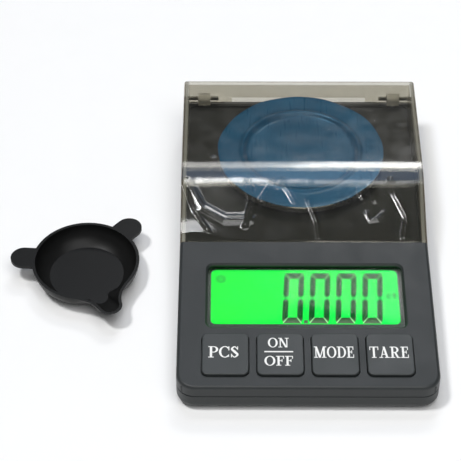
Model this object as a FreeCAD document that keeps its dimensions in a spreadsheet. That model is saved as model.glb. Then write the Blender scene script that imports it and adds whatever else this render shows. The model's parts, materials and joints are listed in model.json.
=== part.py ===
import FreeCAD, Part

# A pocket carat scale with a hinged clear cover over its weighing pan, and a loose gem tray.
# Frame: the origin is on the table under the middle of the case, +X to the right,
# -Y towards the user, +Z up. All sizes are in millimetres and degrees.

import math
import os
import re

import Sketcher

DIMENSIONS = [
    # alias, value, what it is
    ("case_width", 75.0, "case, left to right"),
    ("case_length", 124.0, "case, front to rear"),
    ("rim_height", 0.6, "standing rim and rubber feet below the case"),
    ("wall", 1.6, "moulded wall of both case halves"),
    ("parting_height", 6.0, "top of the lower case"),
    ("front_corner", 5.4, "radius of the front corners seen from above"),
    ("rear_corner", 3.0, "radius of the rear corners seen from above"),
    ("panel_front", -61.0, "Y of the control panel's front edge"),
    ("panel_front_height", 10.0, "height of the control panel's front edge"),
    ("panel_rear", -6.4, "Y of the control panel's rear edge"),
    ("panel_tilt", 2.5, "slope of the control panel, degrees"),
    ("ledge_height", 11.2, "ledge that the cover's walls stand on"),
    ("chamber_height", 10.6, "floor of the weighing chamber"),
    ("display_middle", 33.5, "display centre, measured up the panel"),
    ("display_width", 57.8, "display opening"),
    ("display_length", 24.2, "display opening, front to rear"),
    ("key_middle", 10.7, "key centres, measured up the panel"),
    ("key_pitch", 15.7, "spacing of the four keys"),
    ("key_width", 13.4, "key cap"),
    ("key_length", 15.1, "key cap, front to rear"),
    ("key_proud", 0.85, "key cap above the panel"),
    ("key_gap", 0.25, "gap round each key"),
    ("key_corner", 1.8, "corner radius of the key cap"),
    ("pan_middle", 33.3, "Y of the pan's centre"),
    ("pan_radius", 26.0, "outside of the pan"),
    ("pan_height", 14.1, "top of the pan's flange"),
    ("pan_step", 18.75, "radius of the raised bead inside the flange"),
    ("pan_sheet", 0.4, "steel sheet of the pan"),
    ("pan_skirt", 2.45, "turned-down edge of the pan"),
    ("cover_top", 20.0, "top of the clear cover"),
    ("cover_front", -6.2, "Y of the cover's front edge"),
    ("cover_front_height", 12.4, "top of the cover's front lip"),
    ("cover_bend", 16.9, "Y where the cover's slope would meet its flat top"),
    ("bend_radius", 30.0, "outer radius of the cover's bend"),
    ("cover_rear", 61.8, "Y of the cover's rear wall"),
    ("cover_wall", 1.5, "acrylic of the cover"),
    ("hinge_y", 60.2, "Y of the cover's hinge axis"),
    ("hinge_height", 12.9, "height of the cover's hinge axis"),
    ("barrel_radius", 1.6, "hinge barrel and lugs"),
    ("pin_radius", 0.6, "steel hinge pins"),
    ("lug_middle", 31.0, "X of the middle of each hinge lug"),
    ("lug_width", 4.0, "hinge lug along the axis"),
    ("cell_radius", 10.0, "coin cell"),
    ("cell_thickness", 3.2, "coin cell"),
    ("cell_x", 11.2, "X of each coin cell"),
    ("cell_y", 46.8, "Y of both coin cells"),
    ("door_width", 47.0, "battery door between the lips of its opening"),
    ("door_front", 34.4, "Y of the battery door's front edge"),
    ("board_front", 1.2, "board's front edge, measured up the panel"),
    ("board_rear", 51.5, "board's rear edge, measured up the panel"),
    ("board_half_width", 29.6, "half of the board"),
    ("board_depth", 5.4, "top of the board below the panel"),
    ("boss_x", 32.6, "X of the case screws"),
    ("boss_front", -37.4, "Y of the front case screws"),
    ("boss_rear", 44.0, "Y of the rear case screws"),
    ("beam_front", -3.0, "Y of the load cell's fixed end"),
    ("beam_rear", 35.0, "Y of the load cell's free end"),
    ("beam_bottom", 3.2, "underside of the load cell"),
    ("beam_top", 8.6, "top of the load cell"),
    ("beam_width", 9.0, "load cell"),
    ("tray_x", -66.2, "X of the gem tray's centre"),
    ("tray_y", -8.7, "Y of the gem tray's centre"),
    ("tray_radius", 16.3, "rim of the gem tray"),
    ("tray_height", 6.8, "rim of the gem tray above the table"),
    ("tray_reach", 24.2, "tip of the tray's spout from its centre"),
    ("tray_turn", -66.0, "direction of the tray's spout, degrees from +X"),
]

doc = FreeCAD.newDocument("carat_scale")
sheet = doc.addObject("Spreadsheet::Sheet", "Dims")
for row, (alias, number, note) in enumerate(DIMENSIONS, start=1):
    sheet.set(f"A{row}", alias)
    sheet.set(f"B{row}", str(number))
    sheet.set(f"C{row}", note)
    sheet.setAlias(f"B{row}", alias)
doc.recompute()

ALIAS = re.compile(r"\b(" + "|".join(alias for alias, _, _ in DIMENSIONS) + r")\b")
PARTS = {}


def formula(text):
    """A formula in the sheet's aliases, as FreeCAD's expressions want it."""
    return ALIAS.sub(r"Dims.\1", str(text))


def size(text):
    """The present value of such a formula."""
    return float(sheet.evalExpression(formula(text)))


def bind(thing, **formulas):
    """Binds properties to formulas; two underscores in a name stand for a dot."""
    for name, text in formulas.items():
        thing.setExpression(name.replace("__", "."), formula(text))
    return thing


def keep(node, thing):
    """Names a finished sub-part; its label names its file."""
    thing.Label = node
    PARTS[node] = thing
    return thing


# ---- PartDesign helpers -------------------------------------------------------------------

def new_body(node):
    return keep(node, doc.addObject("PartDesign::Body", node))


def sketch_on(body, plane, height="0"):
    """An empty sketch parallel to one of the body's own origin planes."""
    sketch = body.newObject("Sketcher::SketchObject", "Sketch")
    origin = [item for item in body.Origin.OriginFeatures if item.Role == plane][0]
    sketch.AttachmentSupport = [(origin, "")]
    sketch.MapMode = "FlatFace"
    return bind(sketch, AttachmentOffset__Base__z=height)


def panel_sketch(body, depth="0"):
    """A sketch in the control panel's tilted plane, its Y measured up from the front edge."""
    sketch = sketch_on(body, "XY_Plane")
    sketch.AttachmentOffset = FreeCAD.Placement(
        FreeCAD.Vector(), FreeCAD.Rotation(FreeCAD.Vector(1, 0, 0), size("panel_tilt")))
    return bind(
        sketch,
        AttachmentOffset__Rotation__Angle="panel_tilt * 1 deg",
        AttachmentOffset__Base__y=f"panel_front + ({depth}) * sin(panel_tilt)",
        AttachmentOffset__Base__z=f"panel_front_height - ({depth}) * cos(panel_tilt)")


def pin(sketch, edge, vertex, point):
    """Ties a vertex to the sketch's origin by two formulas."""
    for kind, text in zip(("DistanceX", "DistanceY"), point):
        rule = sketch.addConstraint(Sketcher.Constraint(kind, -1, 1, edge, vertex, size(text)))
        sketch.setExpression(f"Constraints[{rule}]", formula(text))


def outline(sketch, points):
    """A closed outline of straight lines through points given as pairs of formulas."""
    places = [FreeCAD.Vector(size(x), size(y), 0) for x, y in points]
    first = sketch.GeometryCount
    count = len(points)
    for index in range(count):
        line = Part.LineSegment(places[index], places[(index + 1) % count])
        sketch.addGeometry(line, False)
    for index in range(count):
        following = first + (index + 1) % count
        sketch.addConstraint(Sketcher.Constraint("Coincident", first + index, 2, following, 1))
        pin(sketch, first + index, 1, points[index])
    return sketch


def rectangle(sketch, x0, y0, x1, y1):
    return outline(sketch, [(x0, y0), (x1, y0), (x1, y1), (x0, y1)])


def centred(sketch, width, length, middle="0"):
    """A rectangle about X = 0 and the given Y."""
    return rectangle(sketch, f"-({width}) / 2", f"({middle}) - ({length}) / 2",
                     f"({width}) / 2", f"({middle}) + ({length}) / 2")


def circle(sketch, x, y, radius):
    ring = Part.Circle(FreeCAD.Vector(size(x), size(y), 0), FreeCAD.Vector(0, 0, 1), size(radius))
    edge = sketch.addGeometry(ring, False)
    pin(sketch, edge, 3, (x, y))
    rule = sketch.addConstraint(Sketcher.Constraint("Radius", edge, size(radius)))
    sketch.setExpression(f"Constraints[{rule}]", formula(radius))
    return sketch


def pad(body, sketch, length, midplane=False):
    feature = body.newObject("PartDesign::Pad", "Pad")
    feature.Profile = sketch
    feature.Midplane = midplane
    bind(feature, Length=length)
    doc.recompute()
    return feature


def pocket(body, sketch, depth, upward=False, midplane=False):
    """Cuts below the sketch, or above it; a cut that removes nothing is an error."""
    before = body.Shape.Volume
    feature = body.newObject("PartDesign::Pocket", "Pocket")
    feature.Profile = sketch
    feature.Reversed = upward
    feature.Midplane = midplane
    bind(feature, Length=depth)
    doc.recompute()
    if body.Shape.Volume > before - 1e-6:
        raise RuntimeError(f"{body.Label}: a pocket cuts nothing")
    return feature


def soften(body, radius, wanted, kind="Fillet"):
    """Rounds or chamfers the edges of the body's tip that the test picks."""
    base = body.Tip
    names = [f"Edge{number}" for number, edge in enumerate(base.Shape.Edges, start=1)
             if wanted(edge)]
    if not names:
        raise RuntimeError(f"{body.Label}: no edge to soften")
    feature = body.newObject(f"PartDesign::{kind}", kind)
    feature.Base = (base, names)
    bind(feature, **{"Radius" if kind == "Fillet" else "Size": radius})
    doc.recompute()
    return feature


def revolve(body, sketch):
    """Turns a profile in the body's XZ plane once round its vertical axis."""
    feature = body.newObject("PartDesign::Revolution", "Revolution")
    feature.Profile = sketch
    feature.ReferenceAxis = (sketch, ["V_Axis"])
    feature.Angle = 360
    doc.recompute()
    return feature


# ---- Tests that pick edges ----------------------------------------------------------------

def near(a, b, slack=0.02):
    return abs(a - b) < slack


def middle(edge):
    return edge.BoundBox.Center


def upright(edge):
    box = edge.BoundBox
    return box.ZLength > 0.2 and box.XLength < 0.01 and box.YLength < 0.3 * box.ZLength


def flat_at(height):
    """Edges that lie in the horizontal plane at this height."""
    level = size(height)
    return lambda edge: edge.BoundBox.ZLength < 0.001 and near(middle(edge).z, level)


def across_at(y, z):
    """Edges along X through this Y and Z."""
    wanted_y, wanted_z = size(y), size(z)

    def test(edge):
        box = edge.BoundBox
        return (box.XLength > 1 and box.YLength < 0.01 and box.ZLength < 0.01
                and near(middle(edge).y, wanted_y) and near(middle(edge).z, wanted_z))
    return test


# ---- Part primitives ----------------------------------------------------------------------

def block(x0, y0, z0, x1, y1, z1):
    """A box between two corners given as formulas."""
    box = doc.addObject("Part::Box", "Block")
    return bind(box, Length=f"({x1}) - ({x0})", Width=f"({y1}) - ({y0})",
                Height=f"({z1}) - ({z0})", Placement__Base__x=x0,
                Placement__Base__y=y0, Placement__Base__z=z0)


def rod(x, y, z, radius, height, along=(0, 0, 1)):
    """A cylinder that starts at a point and runs along a direction."""
    cylinder = doc.addObject("Part::Cylinder", "Rod")
    turn = FreeCAD.Rotation(FreeCAD.Vector(0, 0, 1), FreeCAD.Vector(*along))
    cylinder.Placement = FreeCAD.Placement(FreeCAD.Vector(), turn)
    return bind(cylinder, Radius=radius, Height=height, Placement__Base__x=x,
                Placement__Base__y=y, Placement__Base__z=z)


def countersunk_screw(x, y, z, head, shank, length, rises=True):
    """A cross-headed screw with its head's face at z; its shank rises from it or hangs from it."""
    way = 1 if rises else -1
    depth = head - shank
    cone = doc.addObject("Part::Cone", "Head")
    bind(cone, Radius1=head if rises else shank, Radius2=shank if rises else head, Height=depth,
         Placement__Base__x=x, Placement__Base__y=y,
         Placement__Base__z=z if rises else f"({z}) - {depth}")
    screw = fuse(cone, rod(x, y, z, shank, length, along=(0, 0, way)))
    arm, half_slot, slot_depth = 0.55 * head, 0.2, 0.5
    low, high = sorted((-0.1 * way, slot_depth * way))
    for half_x, half_y in ((arm, half_slot), (half_slot, arm)):
        screw = cut(screw, block(f"({x}) - {half_x}", f"({y}) - {half_y}", f"({z}) + {low}",
                                 f"({x}) + {half_x}", f"({y}) + {half_y}", f"({z}) + {high}"))
    return screw


def joined(kind, base, tool):
    feature = doc.addObject(kind, kind.split("::")[1])
    feature.Base = base
    feature.Tool = tool
    return feature


def cut(base, *tools):
    for tool in tools:
        base = joined("Part::Cut", base, tool)
    return base


def fuse(base, *tools):
    for tool in tools:
        base = joined("Part::Fuse", base, tool)
    return base


def group(node, members):
    """Several identical solids in one node."""
    compound = doc.addObject("Part::Compound", node)
    compound.Links = members
    return keep(node, compound)


def on_panel(thing, x="0", along="0", up="0"):
    """Places a piece in the panel's tilted frame: along it from the front edge, and above it."""
    turn = FreeCAD.Rotation(FreeCAD.Vector(1, 0, 0), size("panel_tilt"))
    thing.Placement = FreeCAD.Placement(FreeCAD.Vector(), turn)
    return bind(
        thing,
        Placement__Rotation__Angle="panel_tilt * 1 deg",
        Placement__Base__x=x,
        Placement__Base__y=f"panel_front + ({along}) * cos(panel_tilt) - ({up}) * sin(panel_tilt)",
        Placement__Base__z=f"panel_front_height + ({along}) * sin(panel_tilt)"
                           f" + ({up}) * cos(panel_tilt)")


def slab_on_panel(x0, a0, up0, x1, a1, up1):
    """A box in the panel's frame, between two corners (across, along, above)."""
    box = doc.addObject("Part::Box", "Slab")
    bind(box, Length=f"({x1}) - ({x0})", Width=f"({a1}) - ({a0})", Height=f"({up1}) - ({up0})")
    return on_panel(box, x0, a0, up0)


def panel_height(y, drop="0"):
    """Height of the panel at Y, less a vertical drop."""
    return f"panel_front_height + (({y}) - panel_front) * tan(panel_tilt) - ({drop})"


# ---- Values that several pieces share ------------------------------------------------------

HALF_WIDTH = "case_width / 2"
HALF_LENGTH = "case_length / 2"
FLOOR = "rim_height + wall"
INSIDE_X = "case_width / 2 - wall"
INSIDE_Y = "case_length / 2 - wall"
CEILING = "chamber_height - 1.4"
SLACK = 0.06
PARTING_CHAMFER = "0.25"
LUG_PEG_Y = "hinge_y - 1.2"
KEYS = [("key_pcs", -1.5), ("key_on_off", -0.5), ("key_mode", 0.5), ("key_tare", 1.5)]
CASE_SCREWS = [(side, y) for side in (-1, 1) for y in ("boss_front", "boss_rear")]
FEET = [(x, y) for x in (-24.5, 24.5) for y in (-53.0, 27.0)]
FOOT_RADIUS = 3.6
FOOT_SEAT = 0.4
BEAM_SCREWS = [0.0, 5.0]
BOARD_SCREWS = [(-15.7, 2.4), (15.7, 2.4), (-26.0, 49.6), (26.0, 49.6)]


def cavity(sketch):
    """The room inside the walls, its corners cut so that the rounded corners keep their wall."""
    front_cut = "(front_corner - wall) * 0.586"
    rear_cut = "(rear_corner - wall) * 0.586"
    return outline(sketch, [
        (f"-({INSIDE_X}) + {front_cut}", f"-({INSIDE_Y})"),
        (f"{INSIDE_X} - {front_cut}", f"-({INSIDE_Y})"),
        (INSIDE_X, f"-({INSIDE_Y}) + {front_cut}"),
        (INSIDE_X, f"{INSIDE_Y} - {rear_cut}"),
        (f"{INSIDE_X} - {rear_cut}", INSIDE_Y),
        (f"-({INSIDE_X}) + {rear_cut}", INSIDE_Y),
        (f"-({INSIDE_X})", f"{INSIDE_Y} - {rear_cut}"),
        (f"-({INSIDE_X})", f"-({INSIDE_Y}) + {front_cut}")])


def lip_strips(sketch, outer, inner):
    """Four straight strips within the wall, at two depths from the outside, clear of corners."""
    end_x, end_y = 20.0, 50.0
    for side in (-1, 1):
        xs = [f"{side} * ({HALF_WIDTH} - {depth})" for depth in (outer, inner)]
        rectangle(sketch, xs[0], -end_y, xs[1], end_y)
        ys = [f"{side} * ({HALF_LENGTH} - {depth})" for depth in (outer, inner)]
        if side < 0:
            rectangle(sketch, -end_x, ys[0], end_x, ys[1])


def round_case_corners(body):
    for sign, radius in ((-1, "front_corner"), (1, "rear_corner")):
        corner_y = sign * size(HALF_LENGTH)
        soften(body, radius, lambda edge: upright(edge) and near(middle(edge).y, corner_y, 0.2)
               and near(abs(middle(edge).x), size(HALF_WIDTH), 0.2))


def panel_middle_height(edge, depth=0.0):
    """True where the edge's middle lies in the panel's plane, or this far below it."""
    spot = middle(edge)
    return near(spot.z, size(panel_height(spot.y, depth)), 0.03)


# ---- Case -----------------------------------------------------------------------------------

def make_lower_case():
    body = new_body("lower_case")
    pad(body, centred(sketch_on(body, "XY_Plane", "rim_height"), "case_width", "case_length"),
        "parting_height - rim_height")
    round_case_corners(body)
    soften(body, "2.4", flat_at("rim_height"))
    soften(body, PARTING_CHAMFER, flat_at("parting_height"), kind="Chamfer")
    pocket(body, cavity(sketch_on(body, "XY_Plane", "parting_height")),
           f"parting_height - ({FLOOR})")
    # locating lip that enters the upper case
    lip = sketch_on(body, "XY_Plane", "parting_height - 1")
    lip_strips(lip, 0.9, 1.6)
    pad(body, lip, "1.9")
    # standing rim, open at the rear where the battery door slides out
    rim = sketch_on(body, "XY_Plane")
    outline(rim, [("-30.2", "58"), ("-30.2", "-58.5"), ("30.2", "-58.5"), ("30.2", "58"),
                  ("29", "58"), ("29", "-57.3"), ("-29", "-57.3"), ("-29", "58")])
    pad(body, rim, "rim_height + 0.2")
    # screw posts, load cell pedestal and guide rails over the battery door
    posts = sketch_on(body, "XY_Plane", f"{FLOOR} - 0.2")
    for side, y in CASE_SCREWS:
        circle(posts, f"{side} * boss_x", y, "2.5")
    pad(body, posts, f"parting_height - ({FLOOR}) + 0.2")
    pedestal = sketch_on(body, "XY_Plane", f"{FLOOR} - 0.2")
    rectangle(pedestal, "-beam_width / 2 - 0.8", "beam_front - 0.6",
              "beam_width / 2 + 0.8", "beam_front + 10.5")
    pad(body, pedestal, f"beam_bottom - ({FLOOR}) + 0.2")
    rails = sketch_on(body, "XY_Plane", f"{FLOOR} - 0.2")
    rectangle(rails, "-26.2", "door_front - 1.2", "-23", f"{INSIDE_Y} + 0.2")
    rectangle(rails, "23", "door_front - 1.2", "26.2", f"{INSIDE_Y} + 0.2")
    pad(body, rails, "1.4")
    # battery opening: narrow lips below, wider grooves for the door's tongues above them
    mouth = sketch_on(body, "XY_Plane", f"{FLOOR} + {SLACK}")
    rectangle(mouth, f"-door_width / 2 - {SLACK}", f"door_front - {SLACK}",
              f"door_width / 2 + {SLACK}", f"{HALF_LENGTH} + 1")
    pocket(body, mouth, "wall + 0.5")
    grooves = sketch_on(body, "XY_Plane", f"{FLOOR} + {SLACK}")
    rectangle(grooves, f"-door_width / 2 - 1 - {SLACK}", f"door_front - {SLACK}",
              f"door_width / 2 + 1 + {SLACK}", f"{HALF_LENGTH} + 1")
    pocket(body, grooves, f"0.85 + 2 * {SLACK}")
    # screw holes with recesses for their heads, foot seats and the load cell's screw holes
    holes = sketch_on(body, "XY_Plane", "parting_height + 0.1")
    for side, y in CASE_SCREWS:
        circle(holes, f"{side} * boss_x", y, "1.0")
    pocket(body, holes, "parting_height + 1")
    mouths = sketch_on(body, "XY_Plane", "rim_height")
    for side, y in CASE_SCREWS:
        circle(mouths, f"{side} * boss_x", y, "2.1")
    for y in BEAM_SCREWS:
        circle(mouths, "0", y, "2.3")
    pocket(body, mouths, "1.3", upward=True)
    seats = sketch_on(body, "XY_Plane", "rim_height")
    for x, y in FEET:
        circle(seats, x, y, FOOT_RADIUS)
    pocket(body, seats, FOOT_SEAT, upward=True)
    beam_holes = sketch_on(body, "XY_Plane", "beam_bottom + 0.1")
    for y in BEAM_SCREWS:
        circle(beam_holes, "0", y, "1.2")
    pocket(body, beam_holes, "beam_bottom + 1")


def make_upper_case():
    body = new_body("upper_case")
    profile = sketch_on(body, "YZ_Plane")
    outline(profile, [
        (f"-({HALF_LENGTH})", "parting_height"),
        (f"-({HALF_LENGTH})", panel_height(f"-({HALF_LENGTH})")),
        ("panel_rear", panel_height("panel_rear")),
        ("panel_rear", "ledge_height"),
        ("hinge_y - 0.8", "ledge_height"),
        (HALF_LENGTH, "ledge_height - 1.3"),
        (HALF_LENGTH, "parting_height")])
    pad(body, profile, "case_width", midplane=True)
    round_case_corners(body)
    soften(body, PARTING_CHAMFER, flat_at("parting_height"), kind="Chamfer")
    rear_y = size("panel_rear")
    soften(body, "1.0", lambda edge: panel_middle_height(edge) and middle(edge).y < rear_y - 0.1)
    # room inside, under the tilted panel and under the chamber's floor
    room = sketch_on(body, "YZ_Plane")
    outline(room, [
        (f"-({INSIDE_Y})", "parting_height - 1"),
        (f"-({INSIDE_Y})", panel_height(f"-({INSIDE_Y})", "wall")),
        ("panel_rear - wall", panel_height("panel_rear - wall", "wall")),
        ("panel_rear - wall", CEILING),
        (INSIDE_Y, CEILING),
        (INSIDE_Y, "parting_height - 1")])
    pocket(body, room, f"2 * ({INSIDE_X})", midplane=True)
    corners = sketch_on(body, "XY_Plane", "parting_height")
    for side in (-1, 1):
        for end, leg in ((-1, 2.6), (1, 1.3)):
            corner = (f"{side} * ({INSIDE_X} + 0.2)", f"{end} * ({INSIDE_Y} + 0.2)")
            outline(corners, [corner, (corner[0], f"{corner[1]} - {end * leg}"),
                              (f"{corner[0]} - {side * leg}", corner[1])])
    pad(body, corners, "2.6")
    # weighing chamber and the hole for the pan's support
    chamber = sketch_on(body, "XY_Plane", "ledge_height")
    rectangle(chamber, "-case_width / 2 + 1.9", "panel_rear + 1.4",
              "case_width / 2 - 1.9", "hinge_y - 1.9")
    pocket(body, chamber, "ledge_height - chamber_height")
    soften(body, "1.5", lambda edge: upright(edge)
           and near(abs(middle(edge).x), size("case_width / 2 - 1.9")))
    hole = sketch_on(body, "XY_Plane", "chamber_height")
    circle(hole, "0", "pan_middle", "5.4")
    pocket(body, hole, "2")
    sockets = sketch_on(body, "XY_Plane", "ledge_height")
    for side in (-1, 1):
        circle(sockets, f"{side} * lug_middle", LUG_PEG_Y, f"0.6 + {SLACK}")
    pocket(body, sockets, "2.1")
    cut_panel(body)
    add_posts(body)


def cut_panel(body):
    """Openings for the display and the four keys, square to the panel."""
    window = panel_sketch(body)
    centred(window, "display_width", "display_length", "display_middle")
    pocket(body, window, "3")
    soften(body, "1.9", lambda edge: upright(edge)
           and near(abs(middle(edge).x), size("display_width / 2")))
    half_x = size("display_width / 2") + 0.1
    first_y = size("panel_front + display_middle - display_length / 2 - 0.2")
    last_y = size("panel_front + display_middle + display_length / 2 + 0.2")
    soften(body, "0.6", lambda edge: panel_middle_height(edge) and abs(middle(edge).x) < half_x
           and first_y < middle(edge).y < last_y, kind="Chamfer")
    seat = panel_sketch(body, "1.2")
    centred(seat, "display_width + 2.4", "display_length + 3", "display_middle")
    pocket(body, seat, "1")
    for _, place in KEYS:
        opening = panel_sketch(body)
        rectangle(opening,
                  f"{place} * key_pitch - key_width / 2 - key_gap",
                  "key_middle - key_length / 2 - key_gap",
                  f"{place} * key_pitch + key_width / 2 + key_gap",
                  "key_middle + key_length / 2 + key_gap")
        pocket(body, opening, "3")
    sides = [abs(place * size("key_pitch") + side * size("key_width / 2 + key_gap"))
             for _, place in KEYS for side in (-1, 1)]
    keys_end = size("panel_front + key_middle + key_length / 2 + key_gap + 0.3")
    soften(body, "key_corner + key_gap", lambda edge: upright(edge)
           and size("panel_front") < middle(edge).y < keys_end
           and any(near(abs(middle(edge).x), side) for side in sides))


def add_posts(body):
    """Screw posts of the case and the small posts that carry the circuit board."""
    posts = sketch_on(body, "XY_Plane", "parting_height")
    for side, y in CASE_SCREWS:
        circle(posts, f"{side} * boss_x", y, "2.4")
    pad(body, posts, "3.6")
    board_posts = panel_sketch(body, "board_depth")
    for x, along in BOARD_SCREWS:
        circle(board_posts, x, along, "1.3")
    pad(body, board_posts, "board_depth - 1.3")
    pilots = sketch_on(body, "XY_Plane", "parting_height")
    for side, y in CASE_SCREWS:
        circle(pilots, f"{side} * boss_x", y, "0.85")
    pocket(body, pilots, "2.9", upward=True)
    board_pilots = panel_sketch(body, "board_depth")
    for x, along in BOARD_SCREWS:
        circle(board_pilots, x, along, "0.5")
    pocket(body, board_pilots, "2.4", upward=True)
    rebate = sketch_on(body, "XY_Plane", "parting_height")
    lip_strips(rebate, 0.8, 1.7)
    pocket(body, rebate, "1", upward=True)


def make_hinge_lugs():
    """Two clear lugs pegged into the ledge, round about the hinge axis and bored for the pins."""
    lugs = []
    for side in (-1, 1):
        start = f"{side} * lug_middle - lug_width / 2"
        top = rod(start, "hinge_y", "hinge_height", "barrel_radius", "lug_width", along=(1, 0, 0))
        foot = block(start, "hinge_y - barrel_radius", "ledge_height",
                     f"{start} + lug_width", "hinge_y - 0.8", "hinge_height")
        heel = block(start, "hinge_y - 0.85", "ledge_height + 0.02",
                     f"{start} + lug_width", "hinge_y + 0.7", "hinge_height")
        peg = rod(f"{side} * lug_middle", LUG_PEG_Y, "ledge_height - 1.9", "0.6", "2.2")
        bore = rod(f"{start} - 0.5", "hinge_y", "hinge_height", "pin_radius", "lug_width + 1",
                   along=(1, 0, 0))
        lugs.append(cut(fuse(top, foot, heel, peg), bore))
    group("hinge_lugs", lugs)


def make_battery_door():
    body = new_body("battery_door")
    rear = f"{HALF_LENGTH} - 0.3"
    plate = sketch_on(body, "XY_Plane", "rim_height")
    rectangle(plate, "-door_width / 2", "door_front", "door_width / 2", rear)
    pad(body, plate, "wall")
    soften(body, "1.4", across_at(rear, "rim_height"))
    tongues = sketch_on(body, "XY_Plane", "rim_height + 0.75")
    rectangle(tongues, "-door_width / 2 - 1", "door_front", "door_width / 2 + 1", "58.5")
    pad(body, tongues, "0.85")
    grip = sketch_on(body, "XY_Plane", "rim_height - 0.3")
    ribs, first_rib, rib_step = 5, 45.0, 2.0
    for rib in range(ribs):
        rectangle(grip, "-8", first_rib + rib * rib_step, "8", first_rib + rib * rib_step + 0.8)
    pad(body, grip, "0.5")


def make_fasteners():
    group("case_screws", [countersunk_screw(f"{side} * boss_x", y, "rim_height + 0.15",
                                            1.95, 0.85, 7.6) for side, y in CASE_SCREWS])
    group("load_cell_screws", [countersunk_screw("0", y, "rim_height + 0.1", 2.2, 1.05, 5.0)
                               for y in BEAM_SCREWS])
    group("rubber_feet", [rod(x, y, "0", FOOT_RADIUS, f"rim_height + {FOOT_SEAT}")
                          for x, y in FEET])
    screws = []
    for x, along in BOARD_SCREWS:
        head = doc.addObject("Part::Cylinder", "Head")
        bind(head, Radius=1.15, Height=0.7)
        on_panel(head, x, along, "-board_depth - 1.7")
        shank = doc.addObject("Part::Cylinder", "Shank")
        bind(shank, Radius=0.5, Height=3.6)
        on_panel(shank, x, along, "-board_depth - 1.2")
        screws.append(fuse(head, shank))
    group("board_screws", screws)
    pins = []
    for side in (-1, 1):
        pins.append(rod(f"{side} * 26.4", "hinge_y", "hinge_height", "pin_radius", "10.8",
                        along=(side, 0, 0)))
    group("hinge_pins", pins)


# ---- Display and circuit board ---------------------------------------------------------------

def make_display():
    middle_a = "display_middle"
    keep("lcd_window", slab_on_panel("-30", f"{middle_a} - 13.2", "-2",
                                     "30", f"{middle_a} + 13.2", "-1.2"))
    # two glass plates, the rear one longer where the contacts meet it
    keep("lcd_glass", fuse(
        slab_on_panel("-29.7", f"{middle_a} - 12.8", "-3.8", "29.7", f"{middle_a} + 12.8", "-2.9"),
        slab_on_panel("-29.7", f"{middle_a} - 12.2", "-2.9", "29.7", f"{middle_a} + 12.2", "-2.05")))
    keep("lcd_backlight", slab_on_panel("-29.4", f"{middle_a} - 10.4", "-board_depth",
                                        "29.4", f"{middle_a} + 10.4", "-3.8"))
    group("contact_strips", [
        slab_on_panel("-28", f"{middle_a} + {start}", "-board_depth",
                      "28", f"{middle_a} + {start + 1.8}", "-3.8") for start in (-12.6, 10.8)])


def make_board():
    board = slab_on_panel("-board_half_width", "board_front", "-board_depth - 1",
                          "board_half_width", "board_rear", "-board_depth")
    for x, along in BOARD_SCREWS:
        hole = doc.addObject("Part::Cylinder", "Hole")
        bind(hole, Radius=0.6, Height=2)
        board = cut(board, on_panel(hole, x, along, "-board_depth - 1.5"))
    keep("main_board", board)
    # moulded blob over the controller and a leaded converter chip, both under the board
    blob = doc.addObject("Part::Cone", "Blob")
    bind(blob, Radius1=3.6, Radius2=5.2, Height=1.1)
    keep("controller_blob", on_panel(blob, "-11", "32", "-board_depth - 2.1"))
    chip = slab_on_panel("8", "36", "-board_depth - 2.6", "18", "40", "-board_depth - 1.2")
    legs, leg_pitch = 8, 1.2
    for leg in range(legs):
        start = 8.6 + leg * leg_pitch
        chip = fuse(chip, slab_on_panel(start, "35", "-board_depth - 1.6",
                                        start + 0.45, "41", "-board_depth - 1"))
    keep("converter_chip", chip)
    switches = []
    for _, place in KEYS:
        base = slab_on_panel(f"{place} * key_pitch - 2.4", "key_middle - 2.4", "-board_depth",
                             f"{place} * key_pitch + 2.4", "key_middle + 2.4", "-board_depth + 1.5")
        button = doc.addObject("Part::Cylinder", "Button")
        bind(button, Radius=1.2, Height=0.6)
        on_panel(button, f"{place} * key_pitch", "key_middle", "-board_depth + 1.4")
        switches.append(fuse(base, button))
    group("key_switches", switches)


def make_key(node, place):
    body = new_body(node)
    pad(body, centred(sketch_on(body, "XY_Plane", "-2.25"), "key_width", "key_length"),
        "key_proud + 2.25")
    soften(body, "key_corner", upright)
    soften(body, "0.35", flat_at("key_proud"))
    flange = sketch_on(body, "XY_Plane", "-2.25")
    centred(flange, "key_width + 1", "key_length + 1")
    pad(body, flange, "0.6")
    soften(body, "2", lambda edge: upright(edge)
           and near(abs(middle(edge).x), size("key_width / 2 + 0.5")))
    plunger = sketch_on(body, "XY_Plane", "-2.9")
    centred(plunger, "3", "3")
    pad(body, plunger, "0.8")
    on_panel(body, f"{place} * key_pitch", "key_middle")


# ---- Batteries -------------------------------------------------------------------------------

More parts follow.
